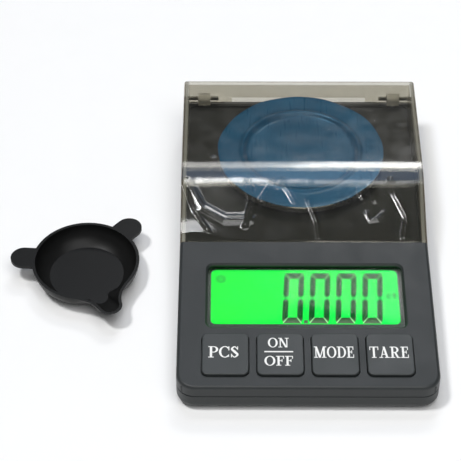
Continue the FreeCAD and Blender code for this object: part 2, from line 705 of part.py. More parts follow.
def make_batteries():
    holder = block("-22.6", "cell_y - 11.2", f"{FLOOR} + 0.15", "22.6", "cell_y + 11.2", "6.9")
    for side in (-1, 1):
        holder = cut(holder, rod(f"{side} * cell_x", "cell_y", "1", "cell_radius + 0.15", "4.85"))
        holder = cut(holder, block(f"{side} * cell_x - 3", "cell_y - 12", "1",
                                   f"{side} * cell_x + 3", "cell_y - 10", "7.5"))
        for peg_y in ("cell_y - 9.2", "cell_y + 9.2"):
            holder = fuse(holder, rod(f"{side} * 20.6", peg_y, "6.5", "1.5", f"{CEILING} - 6.5"))
    bridge_slot = block("-12.8", "cell_y - 2.8", f"{FLOOR} + 2.8", "12.8", "cell_y + 2.8", "5.9")
    keep("battery_holder", cut(holder, bridge_slot))
    for node, side in (("coin_cell_left", -1), ("coin_cell_right", 1)):
        can = rod(f"{side} * cell_x", "cell_y", f"{FLOOR} + 0.1 + 0.25", "cell_radius",
                  "cell_thickness - 0.25")
        cap = rod(f"{side} * cell_x", "cell_y", f"{FLOOR} + 0.1", "cell_radius - 1.1",
                  "cell_thickness")
        keep(node, fuse(can, cap))
    cell_top = f"{FLOOR} + 0.1 + cell_thickness"
    keep("contact_bridge", block("-12.5", "cell_y - 2.5", cell_top,
                                 "12.5", "cell_y + 2.5", f"{cell_top} + 0.3"))
    for node, side in (("contact_positive", -1), ("contact_negative", 1)):
        keep(node, block(f"{side} * cell_x - 2.2", "cell_y - cell_radius - 0.35", "2.6",
                         f"{side} * cell_x + 2.2", "cell_y - cell_radius - 0.05", "7.4"))


def cable(points, radius):
    """A round wire: straight runs joined by tangent arcs as large as its runs allow."""
    spots = [FreeCAD.Vector(*point) for point in points]
    edges = []
    start = spots[0]
    for before, corner, after in zip(spots, spots[1:], spots[2:]):
        to_before, to_after = before - corner, after - corner
        reach = 0.45 * min(to_before.Length, to_after.Length)
        enter = corner + to_before.normalize() * reach
        leave = corner + to_after.normalize() * reach
        half_turn = (math.pi - to_before.getAngle(to_after)) / 2
        bend = reach / math.tan(half_turn)
        inward = (to_before + to_after).normalize()
        crown = corner + inward * (bend / math.cos(half_turn) - bend)
        edges.append(Part.LineSegment(start, enter).toShape())
        edges.append(Part.Arc(enter, crown, leave).toShape())
        start = leave
    edges.append(Part.LineSegment(start, spots[-1]).toShape())
    path = Part.Wire(edges)
    section = Part.Wire(Part.makeCircle(radius, spots[0], spots[1] - spots[0]))
    tube = path.makePipeShell([section], True, True)
    expected = math.pi * radius ** 2 * path.Length
    if abs(tube.Volume / expected - 1) > 0.02:
        raise RuntimeError("a wire's volume doesn't match its section times its length")
    return tube


def feature(name, shape):
    thing = doc.addObject("Part::Feature", name)
    thing.Shape = shape
    return thing


def make_wires():
    """Battery leads beside the load cell, and the cell's own four fine wires."""
    board_top = size(panel_height("-11.6", "board_depth")) + 0.4
    strip_y = size("cell_y - cell_radius - 0.85")
    for node, side in (("battery_wire_red", -1), ("battery_wire_black", 1)):
        route = [(side * 11.2, strip_y, 7.0), (side * 12.6, 27.0, 6.6), (side * 14.4, 14.0, 5.2),
                 (side * 14.0, 2.0, 5.0), (side * 13.0, -5.0, 7.4), (side * 13.4, -10.0, 8.4),
                 (side * 13.8, -12.2, board_top)]
        keep(node, feature(node, cable(route, 0.45)))
    top = size("beam_top") + 0.27
    wires = []
    for x in (-2.4, -0.8, 0.8, 2.4):
        route = [(x, 10.9, top), (x, 3.0, top + 0.01), (x, -4.4, top + 0.03),
                 (x * 1.1, -9.0, 8.6), (x * 1.2, -12.2, board_top)]
        wires.append(feature("Wire", cable(route, 0.25)))
    group("load_cell_wires", wires)


# ---- Weighing cell and pan ----------------------------------------------------------------------

def make_load_cell():
    beam = block("-beam_width / 2", "beam_front", "beam_bottom",
                 "beam_width / 2", "beam_rear", "beam_top")
    centre = "(beam_bottom + beam_top) / 2"
    hole_ys = (13.5, 21.0)
    for y in hole_ys:
        beam = cut(beam, rod("-10", y, centre, "2.0", "20", along=(1, 0, 0)))
    beam = cut(beam, block("-10", hole_ys[0], f"{centre} - 0.6", "10", hole_ys[1],
                           f"{centre} + 0.6"))
    for y in BEAM_SCREWS:
        beam = cut(beam, rod("0", y, "beam_bottom - 0.1", "1.05", "3.4"))
    beam = cut(beam, rod("0", "pan_middle", "beam_bottom - 0.1", "1.3", "7"))
    keep("load_cell", beam)
    group("gauge_coating", [
        block("-3.6", "11", "beam_top", "3.6", "23.5", "beam_top + 0.4"),
        block("-3.6", "11", "beam_bottom - 0.4", "3.6", "23.5", "beam_bottom")])


def make_pan():
    rest = "pan_height - 1.2"
    hub = rod("0", "pan_middle", "beam_top", "4.4", f"{rest} - 1 - beam_top")
    plate = rod("0", "pan_middle", f"{rest} - 1.3", "15", "1.3")
    support = fuse(hub, plate)
    ribs = 4
    for rib in range(ribs):
        turn = rib * 360 / ribs + 45
        arm = block("4", "-0.5", "0", "13", "0.5", "0.9")
        arm.Placement = FreeCAD.Placement(
            FreeCAD.Vector(), FreeCAD.Rotation(FreeCAD.Vector(0, 0, 1), turn))
        bind(arm, Placement__Base__x=f"4 * cos({turn})",
             Placement__Base__y=f"pan_middle + 4 * sin({turn})",
             Placement__Base__z=f"{rest} - 1.8")
        support = fuse(support, arm)
    hole = rod("0", "pan_middle", "beam_top - 1", "1.25", "8")
    sink = doc.addObject("Part::Cone", "Sink")
    bind(sink, Radius1=1.2, Radius2=2.35, Height=1.15, Placement__Base__x="0",
         Placement__Base__y="pan_middle", Placement__Base__z=f"{rest} - 1.15")
    keep("pan_support", cut(support, hole, sink))
    keep("support_screw", countersunk_screw("0", "pan_middle", f"{rest} - 0.05", 2.25, 1.2, 9.4,
                                            rises=False))
    pan = new_body("weighing_pan")
    profile = sketch_on(pan, "XZ_Plane")
    under = "pan_height - pan_sheet"
    outline(profile, [
        ("0", rest), ("pan_step - 1.1", rest), ("pan_step - 0.2", "pan_height - 0.1"),
        ("pan_step + 0.5", under), ("pan_radius - 1", under),
        ("pan_radius - pan_sheet", "pan_height - 1"),
        ("pan_radius - pan_sheet", "pan_height - pan_skirt"), ("pan_radius", "pan_height - pan_skirt"),
        ("pan_radius", "pan_height - 0.7"), ("pan_radius - 0.7", "pan_height"),
        ("pan_step + 0.6", "pan_height"), ("pan_step", "pan_height + 0.35"),
        ("pan_step - 0.6", "pan_height + 0.1"), ("pan_step - 1.3", f"{rest} + pan_sheet"),
        ("0", f"{rest} + pan_sheet")])
    revolve(pan, profile)
    bind(pan, Placement__Base__y="pan_middle")
    film = new_body("pan_film")
    skin = sketch_on(film, "XZ_Plane")
    outline(skin, [
        ("0", f"{rest} + pan_sheet + 0.04"), ("pan_step - 1.35", f"{rest} + pan_sheet + 0.04"),
        ("pan_step - 0.65", "pan_height + 0.16"), ("pan_step", "pan_height + 0.4"),
        ("pan_step + 0.6", "pan_height + 0.05"), ("pan_radius + 0.3", "pan_height + 0.05"),
        ("pan_radius + 0.3", "pan_height + 0.15"), ("pan_step + 0.6", "pan_height + 0.15"),
        ("pan_step", "pan_height + 0.5"), ("pan_step - 0.7", "pan_height + 0.26"),
        ("pan_step - 1.4", f"{rest} + pan_sheet + 0.14"), ("0", f"{rest} + pan_sheet + 0.14")])
    revolve(film, skin)
    bind(film, Placement__Base__y="pan_middle")


# ---- Clear cover -----------------------------------------------------------------------------------

def slope_height(y, rise="0"):
    """Height of the cover's outer slope at Y, plus a rise."""
    run = f"(({y}) - cover_front) / (cover_bend - cover_front)"
    return f"cover_front_height + {run} * (cover_top - cover_front_height) + ({rise})"


def make_cover():
    body = new_body("cover")
    foot = "ledge_height + 0.1"
    shell = sketch_on(body, "YZ_Plane")
    outline(shell, [
        ("cover_front", foot), ("cover_front", "cover_front_height"),
        ("cover_bend", "cover_top"), ("cover_rear", "cover_top"), ("cover_rear", foot)])
    pad(body, shell, "case_width", midplane=True)
    soften(body, "bend_radius", across_at("cover_bend", "cover_top"))
    soften(body, "2.2", across_at("cover_rear", "cover_top"))
    soften(body, "1.2", across_at("cover_rear", foot), kind="Chamfer")
    side_x = size(HALF_WIDTH)
    soften(body, "0.8", lambda edge: near(abs(middle(edge).x), side_x)
           and edge.BoundBox.XLength < 0.01 and middle(edge).z > size("cover_front_height")
           and middle(edge).y < size("cover_rear") - 0.1)
    room = sketch_on(body, "YZ_Plane")
    drop = "1.58"
    outline(room, [
        ("cover_front + cover_wall", "ledge_height - 1"),
        ("cover_front + cover_wall", slope_height("cover_front + cover_wall", f"-{drop}")),
        ("cover_bend + 0.3", "cover_top - cover_wall"),
        ("cover_rear - cover_wall", "cover_top - cover_wall"),
        ("cover_rear - cover_wall", "ledge_height - 1")])
    pocket(body, room, "case_width - 2 * cover_wall", midplane=True)
    soften(body, "bend_radius - cover_wall", across_at("cover_bend + 0.3", "cover_top - cover_wall"))
    barrel_end, barrel_length = "24.5", f"{HALF_WIDTH} - 24.5"
    for start in (barrel_end, f"-({HALF_WIDTH})"):
        barrel = sketch_on(body, "YZ_Plane", start)
        circle(barrel, "hinge_y", "hinge_height", "barrel_radius")
        pad(body, barrel, barrel_length)
    notches = sketch_on(body, "XY_Plane", "ledge_height - 0.5")
    for side in (-1, 1):
        centre_x = f"{side} * lug_middle"
        rectangle(notches, f"{centre_x} - lug_width / 2 - 0.1", "hinge_y - barrel_radius - 0.2",
                  f"{centre_x} + lug_width / 2 + 0.1", "cover_rear + 1")
    pocket(body, notches, "hinge_height + barrel_radius + 0.2 - ledge_height + 0.5", upward=True)
    # relief in the rear wall's foot, which swings past the pan as the cover opens
    relief = sketch_on(body, "XY_Plane", "ledge_height - 0.5")
    rectangle(relief, "-22", "hinge_y - barrel_radius", "22", "cover_rear + 1")
    pocket(body, relief, "hinge_height - ledge_height + 0.8", upward=True)
    for side in (-1, 1):
        bore = sketch_on(body, "YZ_Plane", f"{side} * 26.2")
        circle(bore, "hinge_y", "hinge_height", f"pin_radius + {SLACK}")
        pocket(body, bore, "14", upward=side > 0)


def make_cover_film():
    """Loose protective film over the slope and top of the cover."""
    body = new_body("cover_film")
    sheet_of_film = sketch_on(body, "YZ_Plane")
    start, end, low, high = "cover_front + 0.6", "cover_rear - 2.4", "0.05", "0.17"
    outline(sheet_of_film, [
        (start, slope_height(start, low)), ("cover_bend", f"cover_top + {low}"),
        (end, f"cover_top + {low}"), (end, f"cover_top + {high}"),
        ("cover_bend", f"cover_top + {high}"), (start, slope_height(start, high))])
    pad(body, sheet_of_film, "case_width - 0.4", midplane=True)
    soften(body, "bend_radius - 0.1", across_at("cover_bend", f"cover_top + {low}"))
    soften(body, "bend_radius", across_at("cover_bend", f"cover_top + {high}"))


# ---- Loose gem tray --------------------------------------------------------------------------------

def tray_outline(radius, reach, tip, height):
    """A circle with a beak towards +X: a round lip on a neck that leaves the circle smoothly."""
    start, lip_turn = math.radians(38), math.radians(80)
    lip_centre = reach - tip
    leave = FreeCAD.Vector(radius * math.cos(start), radius * math.sin(start), height)
    lip = FreeCAD.Vector(lip_centre + tip * math.cos(lip_turn), tip * math.sin(lip_turn), height)
    lead = 0.4 * (lip - leave).Length
    first = leave + FreeCAD.Vector(math.sin(start), -math.cos(start), 0) * lead
    last = lip - FreeCAD.Vector(math.sin(lip_turn), -math.cos(lip_turn), 0) * lead
    flank = Part.BezierCurve()
    flank.setPoles([leave, first, last, lip])
    point = FreeCAD.Vector(reach, 0, height)
    lip_below = FreeCAD.Vector(lip.x, -lip.y, height)
    mirrored = Part.BezierCurve()
    mirrored.setPoles([FreeCAD.Vector(p.x, -p.y, p.z) for p in (lip, last, first, leave)])
    rest = Part.Arc(FreeCAD.Vector(leave.x, -leave.y, height),
                    FreeCAD.Vector(-radius, 0, height), leave)
    return Part.Wire([flank.toShape(), Part.Arc(lip, point, lip_below).toShape(),
                      mirrored.toShape(), rest.toShape()])


def make_tray():
    rim, reach, height = size("tray_radius"), size("tray_reach"), size("tray_height")
    sheet_thickness = 0.9
    outside = Part.makeLoft([
        tray_outline(rim - 4.2, rim - 1.6, 3.6, 0),
        tray_outline(rim - 1.4, reach - 5.6, 3.7, height * 0.4),
        tray_outline(rim, reach, 3.7, height)], True, False)
    inside = Part.makeLoft([
        tray_outline(rim - 5.0, rim - 2.8, 2.7, sheet_thickness),
        tray_outline(rim - 2.3, reach - 6.6, 2.8, height * 0.45),
        tray_outline(rim - sheet_thickness, reach - 0.9, 2.8, height + 0.01)], True, False)
    ear_width, ear_tip, ear_thickness = 8.0, 23.0, 1.0
    ears = []
    for ear_turn in (115, -118):
        arm = Part.makeBox(ear_tip - ear_width / 2 - rim + 4, ear_width, ear_thickness,
                           FreeCAD.Vector(rim - 4, -ear_width / 2, height - ear_thickness))
        end = Part.makeCylinder(ear_width / 2, ear_thickness,
                                FreeCAD.Vector(ear_tip - ear_width / 2, 0, height - ear_thickness))
        ear = arm.fuse(end)
        ear.rotate(FreeCAD.Vector(), FreeCAD.Vector(0, 0, 1), ear_turn)
        ears.append(ear)
    tray = outside.fuse(ears).cut(inside).removeSplitter()
    thing = feature("weighing_tray", tray)
    turn = FreeCAD.Rotation(FreeCAD.Vector(0, 0, 1), size("tray_turn"))
    thing.Placement = FreeCAD.Placement(FreeCAD.Vector(), turn)
    bind(thing, Placement__Base__x="tray_x", Placement__Base__y="tray_y")
    keep("weighing_tray", thing)


# ---- Build, check and write ------------------------------------------------------------------------

make_lower_case()
make_upper_case()
make_hinge_lugs()
make_battery_door()
make_fasteners()
make_display()
make_board()
for key_node, key_place in KEYS:
    make_key(key_node, key_place)
make_batteries()
make_wires()
make_load_cell()
make_pan()
make_cover()
make_cover_film()
make_tray()
doc.recompute()

for thing in doc.Objects:
    if "Invalid" in thing.State or "Error" in thing.State:
        raise RuntimeError(f"{thing.Label}: {thing.State}")
os.makedirs("parts", exist_ok=True)
for node, thing in PARTS.items():
    shape = thing.Shape
    if shape.isNull() or not shape.isValid():
        raise RuntimeError(f"{node}: its shape is not valid")
    shape.exportStep(f"parts/{node}.step")
    print(f"{node}: {len(shape.Solids)} solid(s), {shape.Volume:.1f} mm3")
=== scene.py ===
import json
import math

import bmesh
import bpy
from mathutils import Matrix, Vector, noise


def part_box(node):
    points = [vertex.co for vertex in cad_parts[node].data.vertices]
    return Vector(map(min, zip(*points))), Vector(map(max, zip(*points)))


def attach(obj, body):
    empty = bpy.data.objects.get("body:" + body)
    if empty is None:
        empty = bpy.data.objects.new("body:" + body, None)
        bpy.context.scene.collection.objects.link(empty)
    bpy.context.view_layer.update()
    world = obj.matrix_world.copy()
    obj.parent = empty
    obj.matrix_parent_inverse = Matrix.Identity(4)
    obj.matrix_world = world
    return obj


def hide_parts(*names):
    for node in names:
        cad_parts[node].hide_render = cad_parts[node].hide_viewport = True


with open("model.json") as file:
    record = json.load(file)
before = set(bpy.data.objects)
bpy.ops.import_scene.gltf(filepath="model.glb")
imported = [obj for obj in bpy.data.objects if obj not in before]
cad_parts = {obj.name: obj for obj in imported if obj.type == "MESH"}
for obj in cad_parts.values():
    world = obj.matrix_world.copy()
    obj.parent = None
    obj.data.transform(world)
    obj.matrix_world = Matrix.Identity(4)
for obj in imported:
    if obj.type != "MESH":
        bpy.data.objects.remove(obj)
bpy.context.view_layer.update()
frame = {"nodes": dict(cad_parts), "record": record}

# The looks of a pocket carat scale: a clear hinged cover under a loose wrinkled film, a round
# pan under a blue film, a lit display, four keys with printed words and a loose gem tray.
#
# Names that end in _MM, and all panel places (across, along, up), are in millimetres. The
# panel frame starts at the middle of the panel's front edge and leans back with the panel.

NODES = frame["nodes"]
MM = 0.001

PANEL_FRONT_MM = -61.0
PANEL_HEIGHT_MM = 10.0
PANEL_TILT = math.radians(2.5)
PANEL = (Matrix.Translation((0, PANEL_FRONT_MM * MM, PANEL_HEIGHT_MM * MM))
         @ Matrix.Rotation(PANEL_TILT, 4, "X"))
KEY_TOP_MM = 0.85

# the cover's half width, and the light painted on its side walls seen from above: a beige glow for
# the light seen down through their height, and painted shade along their outer edge
SIDE_MM = 37.5
RIM_PAINTED_LIGHT_SHARE = 0.72
RIM_PAINTED_GLOW = (0.26, 0.255, 0.215, 1)
RIM_PAINTED_DARK_EDGE = (0.085, 0.065, 0.040, 1)


# ---- Camera, floor and light ---------------------------------------------------------------

def add_camera():
    """Looks down at the scale from the front, at about 45 degrees, from half a metre."""
    data = bpy.data.cameras.new("camera")
    data.sensor_width = 36
    data.lens = 137.34
    data.clip_start = 0.01
    camera = bpy.data.objects.new("camera", data)
    camera.location = (-0.0210, -0.3837, 0.3878)
    camera.rotation_euler = (math.radians(45.52), 0, math.radians(0.18))
    bpy.context.scene.collection.objects.link(camera)
    bpy.context.scene.camera = camera


def add_light(name, place, target, power, width, length, colour):
    """A rectangular lamp of a power in watts, at a place and turned to a target, in metres."""
    data = bpy.data.lights.new(name, "AREA")
    data.energy = power
    data.color = colour
    data.shape = "RECTANGLE"
    data.size = width
    data.size_y = length
    lamp = bpy.data.objects.new(name, data)
    lamp.location = place
    aim = Vector(target) - Vector(place)
    lamp.rotation_euler = aim.to_track_quat("-Z", "Y").to_euler()
    bpy.context.scene.collection.objects.link(lamp)


def mesh_object(name, mesh):
    thing = bpy.data.objects.new(name, mesh)
    bpy.context.scene.collection.objects.link(thing)
    return thing


def add_floor(material, half):
    """A square floor; half is half of its side in metres."""
    mesh = bpy.data.meshes.new("floor")
    mesh.from_pydata([(-half, -half, 0), (half, -half, 0), (half, half, 0), (-half, half, 0)],
                     [], [(0, 1, 2, 3)])
    mesh.materials.append(material)
    mesh_object("floor", mesh)


def set_world(horizon, sky):
    """Surroundings as pale as the floor at the horizon, and dim from a third of the way up."""
    world = bpy.data.worlds.new("studio")
    bpy.context.scene.world = world
    world.use_nodes = True
    tree = world.node_tree
    background = tree.nodes["Background"]
    direction = add(tree, "ShaderNodeTexCoord").outputs["Generated"]
    up = add(tree, "ShaderNodeSeparateXYZ", Vector=direction).outputs["Z"]
    connect(tree, background, "Color", (0.95, 0.97, 1.0, 1))
    connect(tree, background, "Strength", remap(tree, up, horizon, sky, 0.08, 0.34))


def add_sun(place, strength, width_degrees):
    """A distant lamp that shines from a place towards the origin."""
    data = bpy.data.lights.new("key", "SUN")
    data.energy = strength
    data.angle = math.radians(width_degrees)
    lamp = bpy.data.objects.new("key", data)
    lamp.rotation_euler = (-Vector(place)).to_track_quat("-Z", "Y").to_euler()
    bpy.context.scene.collection.objects.link(lamp)


# ---- Materials -----------------------------------------------------------------------------

def start_material(name):
    material = bpy.data.materials.new(name)
    material.use_nodes = True
    tree = material.node_tree
    return material, tree, tree.nodes["Principled BSDF"]


def add(tree, kind, settings=None, **inputs):
    """A node; an input's name has underscores for spaces, and a socket as a value is linked."""
    node = tree.nodes.new(kind)
    for key, value in (settings or {}).items():
        setattr(node, key, value)
    for key, value in inputs.items():
        connect(tree, node, key, value)
    return node


def connect(tree, node, key, value):
    socket = node.inputs[int(key[1:])] if key[1:].isdigit() else node.inputs[key.replace("_", " ")]
    if isinstance(value, bpy.types.NodeSocket):
        tree.links.new(value, socket)
    else:
        socket.default_value = value


def object_noise(tree, feature_mm, stretch=(1, 1, 1), detail=3.0, rough=0.55):
    """Noise in the object's own frame with features of about this size."""
    where = add(tree, "ShaderNodeTexCoord").outputs["Object"]
    mapped = add(tree, "ShaderNodeMapping", Vector=where, Scale=stretch)
    return add(tree, "ShaderNodeTexNoise", Vector=mapped.outputs[0],
               Scale=1 / (feature_mm * MM), Detail=detail, Roughness=rough).outputs["Fac"]


def remap(tree, value, low, high, start=0.3, end=0.7):
    return add(tree, "ShaderNodeMapRange", Value=value, From_Min=start, From_Max=end,
               To_Min=low, To_Max=high).outputs["Result"]


def shade(colour, factor):
    return tuple(channel * factor for channel in colour) + (1,)


def blend_colours(tree, factor, first, second):
    node = tree.nodes.new("ShaderNodeMix")
    node.data_type = "RGBA"
    for socket, value in ((node.inputs["Factor"], factor), (node.inputs[6], first),
                          (node.inputs[7], second)):
        if isinstance(value, bpy.types.NodeSocket):
            tree.links.new(value, socket)
        else:
            socket.default_value = value
    return node.outputs[2]


def moulded(name, colour, roughness, grain_mm=0.3, depth_mm=0.012, mottle=0.12, patch_mm=9.0,
            gloss=0.5):
    """Moulded plastic or rubber: a fine grain, and patches a little lighter and glossier."""
    material, tree, shader = start_material(name)
    patches = object_noise(tree, patch_mm)
    grain = object_noise(tree, grain_mm, detail=2.0)
    tone = blend_colours(tree, remap(tree, patches, 0, 1),
                         shade(colour, 1 - mottle), shade(colour, 1 + mottle))
    connect(tree, shader, "Base_Color", tone)
    connect(tree, shader, "Roughness", remap(tree, patches, roughness - 0.06, roughness + 0.06))
    shader.inputs["Specular IOR Level"].default_value = gloss
    bump = add(tree, "ShaderNodeBump", Height=grain, Distance=depth_mm * MM, Strength=0.8)
    connect(tree, shader, "Normal", bump.outputs[0])
    return material


def metal(name, colour, roughness, streak=(1, 1, 1), streak_mm=0.4, depth_mm=0.004):
    """Bare metal with fine streaks: the axis with the small number is the long one."""
    material, tree, shader = start_material(name)
    streaks = object_noise(tree, streak_mm, streak)
    tone = blend_colours(tree, remap(tree, streaks, 0, 1), shade(colour, 0.88), shade(colour, 1.0))
    connect(tree, shader, "Base_Color", tone)
    shader.inputs["Metallic"].default_value = 1
    connect(tree, shader, "Roughness", remap(tree, streaks, roughness * 0.8, roughness * 1.25))
    bump = add(tree, "ShaderNodeBump", Height=streaks, Distance=depth_mm * MM, Strength=0.6)
    connect(tree, shader, "Normal", bump.outputs[0])
    return material


def smooth_fresnel(tree, ior, normal=None):
    """Fresnel of a thin clear wall; its inner side mirrors no more than its outer side."""
    inside = add(tree, "ShaderNodeNewGeometry").outputs["Backfacing"]
    index = remap(tree, inside, ior, 1 / ior, 0, 1)
    node = add(tree, "ShaderNodeFresnel", IOR=index)
    if normal:
        connect(tree, node, "Normal", normal)
    return node.outputs[0]


def painted_side_rims(tree, haze):
    """Haze and its colour with painted light added on the tops of the side walls: looking down
    into their height, a painted beige glow stands for the light seen through them, in place of the
    case below, with painted shade as a brown outer edge."""
    coordinates = add(tree, "ShaderNodeTexCoord")
    x = add(tree, "ShaderNodeSeparateXYZ", Vector=coordinates.outputs["Object"]).outputs["X"]
    up = add(tree, "ShaderNodeSeparateXYZ", Vector=coordinates.outputs["Normal"]).outputs["Z"]
    out = add(tree, "ShaderNodeMath", {"operation": "ABSOLUTE"}, i0=x).outputs[0]
    # the tops of the side walls get a painted glow for the light seen down through them
    over_wall = remap(tree, out, 0, RIM_PAINTED_LIGHT_SHARE, (SIDE_MM - 1.8) * MM, (SIDE_MM - 1.3) * MM)
    facing_up = remap(tree, up, 0, 1, 0.5, 0.8)
    painted_rim = add(tree, "ShaderNodeMath", {"operation": "MULTIPLY"}, i0=over_wall, i1=facing_up)
    total = add(tree, "ShaderNodeMath", {"operation": "MAXIMUM"}, i0=haze, i1=painted_rim.outputs[0])
    # painted shade: a brown band along the outer edge of the side walls
    edge = remap(tree, out, 0, 1, (SIDE_MM - 0.75) * MM, (SIDE_MM - 0.4) * MM)
    return total.outputs[0], blend_colours(tree, edge, RIM_PAINTED_GLOW, RIM_PAINTED_DARK_EDGE)


def clear_plastic(name, face_tint, edge_tint, gloss, ior=1.49, haze=0.0, bump_mm=0.0,
                  patch_mm=14.0, haze_colour=(0.8, 0.8, 0.78, 1), painted_rims=False):
    """A clear wall or film: light passes tinted, more so at a glancing angle, and mirrors."""
    material, tree, shader = start_material(name)
    tree.nodes.remove(shader)
    patches = object_noise(tree, patch_mm, detail=4.0)
    ripple = add(tree, "ShaderNodeBump", Height=patches, Distance=bump_mm * MM, Strength=1.0)
    glance = add(tree, "ShaderNodeLayerWeight", Blend=0.5).outputs["Facing"]
    edge = add(tree, "ShaderNodeMath", {"operation": "POWER"}, i0=glance, i1=3.0).outputs[0]
    passed = blend_colours(tree, edge, (*face_tint, 1), (*edge_tint, 1))
    see = add(tree, "ShaderNodeBsdfTransparent", Color=passed)
    amount = remap(tree, patches, haze * 0.5, haze * 1.5)
    # painted light on the tops of the side walls: a beige glow and a darker outer edge
    if painted_rims:
        amount, haze_colour = painted_side_rims(tree, amount)
    veil = add(tree, "ShaderNodeBsdfDiffuse", Color=haze_colour)
    veiled = add(tree, "ShaderNodeMixShader", i0=amount, i1=see.outputs[0], i2=veil.outputs[0])
    mirror = add(tree, "ShaderNodeBsdfAnisotropic", Color=(1, 1, 1, 1), Normal=ripple.outputs[0])
    connect(tree, mirror, "Roughness", remap(tree, patches, gloss * 0.7, gloss * 1.3))
    both = add(tree, "ShaderNodeMixShader", i0=smooth_fresnel(tree, ior, ripple.outputs[0]),
               i1=veiled.outputs[0], i2=mirror.outputs[0])
    connect(tree, tree.nodes["Material Output"], "Surface", both.outputs[0])
    return material


def lit_green(name):
    """The lit display: even green, with a painted reflection that makes it a little paler to the
    right.
    """
    material, tree, shader = start_material(name)
    where = add(tree, "ShaderNodeTexCoord").outputs["Object"]
    across = add(tree, "ShaderNodeSeparateXYZ", Vector=where).outputs["X"]
    # painted reflection: the green glow pales towards the right
    painted_reflection = remap(tree, across, 0, 1, -0.028, 0.028)
    cloud = remap(tree, object_noise(tree, 8.0), -0.1, 0.1)
    factor = add(tree, "ShaderNodeMath", {"operation": "ADD", "use_clamp": True},
                 i0=painted_reflection, i1=cloud).outputs[0]
    glow = blend_colours(tree, factor, (0.0, 1.02, 0.035, 1), (0.004, 1.02, 0.11, 1))
    connect(tree, shader, "Base_Color", (0.0, 0.06, 0.01, 1))
    connect(tree, shader, "Roughness", 0.4)
    connect(tree, shader, "Specular_IOR_Level", 0.06)
    connect(tree, shader, "Emission_Color", glow)
    connect(tree, shader, "Emission_Strength", 1.0)
    return material


def segment_ink_with_painted_reflection(name, top, bottom, reflection_start_mm, reflection_end_mm):
    """The display's dark segments, with a painted reflection of the glass that pales them towards
    its lower edge.
    """
    material, tree, shader = start_material(name)
    where = add(tree, "ShaderNodeTexCoord").outputs["Object"]
    along = add(tree, "ShaderNodeSeparateXYZ", Vector=where).outputs["Y"]
    # painted reflection of the window: the colour turns from the first to the second towards its
    # lower edge
    start = (PANEL_FRONT_MM + reflection_start_mm) * MM
    end = (PANEL_FRONT_MM + reflection_end_mm) * MM
    low = remap(tree, along, 0, 1, start, end)
    grain = remap(tree, object_noise(tree, 0.7), -0.12, 0.12)
    factor = add(tree, "ShaderNodeMath", {"operation": "ADD", "use_clamp": True},
                 i0=low, i1=grain).outputs[0]
    ink = blend_colours(tree, factor, (*top, 1), (*bottom, 1))
    connect(tree, shader, "Base_Color", (0.0, 0.01, 0.0, 1))
    connect(tree, shader, "Roughness", 0.5)
    connect(tree, shader, "Specular_IOR_Level", 0.06)
    connect(tree, shader, "Emission_Color", ink)
    connect(tree, shader, "Emission_Strength", 1.0)
    return material


def blue_on_steel(name):
    """Blue film lying on the steel pan: a tinted metal sheen under the film's own gloss."""
    material, tree, shader = start_material(name)
    patches = object_noise(tree, 16.0, detail=4.0)
    scratches = object_noise(tree, 0.6, (1, 0.06, 1))
    tone = blend_colours(tree, remap(tree, patches, 0, 1), (0.0, 0.14, 0.36, 1),
                         (0.0, 0.19, 0.47, 1))
    connect(tree, shader, "Base_Color", tone)
    connect(tree, shader, "Metallic", 0.25)
    connect(tree, shader, "Roughness", remap(tree, scratches, 0.26, 0.36))
    connect(tree, shader, "Coat_Weight", 0.3)
    connect(tree, shader, "Coat_Roughness", 0.06)
    bump = add(tree, "ShaderNodeBump", Height=patches, Distance=0.12 * MM, Strength=0.5)
    connect(tree, shader, "Normal", bump.outputs[0])
    connect(tree, shader, "Coat_Normal", bump.outputs[0])
    return material


def glossy_print(name, colour):
    """Printed ink, slightly uneven."""
    material, tree, shader = start_material(name)
    patches = object_noise(tree, 0.8)
    tone = blend_colours(tree, remap(tree, patches, 0, 1), shade(colour, 0.93), shade(colour, 1))
    connect(tree, shader, "Base_Color", tone)
    connect(tree, shader, "Roughness", 0.45)
    return material


FLOOR = moulded("floor_paper", (0.96, 0.96, 0.955), 0.8, grain_mm=0.8, depth_mm=0.0, mottle=0.005)
CASE = moulded("case_plastic_look", (0.0215, 0.0250, 0.0255), 0.44, grain_mm=0.35, depth_mm=0.03,
               gloss=0.42)
KEY = moulded("key_plastic_look", (0.032, 0.037, 0.037), 0.40, grain_mm=0.3, depth_mm=0.02,
              gloss=0.42)
TRAY = moulded("tray_plastic_look", (0.007, 0.0072, 0.007), 0.40, grain_mm=0.25, depth_mm=0.01,
               gloss=0.22)
# the cover's side walls carry painted light on their tops
COVER = clear_plastic("clear_cover_look", (0.865, 0.855, 0.815), (0.26, 0.21, 0.15), 0.08,
                      haze=0.001, painted_rims=True)
FILM = clear_plastic("clear_film_look", (0.90, 0.895, 0.87), (0.42, 0.36, 0.28), 0.13, ior=1.6,
                     haze=0.002, bump_mm=0.02, patch_mm=5.0)
WINDOW = clear_plastic("clear_window_look", (0.98, 0.985, 0.98), (0.8, 0.85, 0.8), 0.04, ior=1.12)
GREEN = lit_green("lit_display_look")
# each second colour is the painted reflection of the window near its lower edge
INK = segment_ink_with_painted_reflection("segment_look", (0.0, 0.085, 0.012), (0.13, 0.19, 0.12), 26.9, 24.6)
# the gaps' pale colours are painted highlights
GAP_PAINTED_HIGHLIGHT = segment_ink_with_painted_reflection("segment_gap_painted_highlight_look", (0.30, 0.95, 0.32), (0.62, 0.85, 0.55), 26.9, 24.6)
FAINT = segment_ink_with_painted_reflection("mark_look", (0.0, 0.16, 0.02), (0.0, 0.20, 0.02), 26.9, 24.6)
MASK = moulded("display_mask_look", (0.004, 0.02, 0.006), 0.4, depth_mm=0.004)
PRINT = glossy_print("key_word_look", (0.90, 0.90, 0.88))
BLUE = blue_on_steel("blue_film_look")
STEEL = metal("pan_steel_look", (0.62, 0.62, 0.61), 0.26, (1, 0.05, 1))
SCREW = metal("screw_steel_look", (0.34, 0.34, 0.35), 0.32, (1, 1, 1))

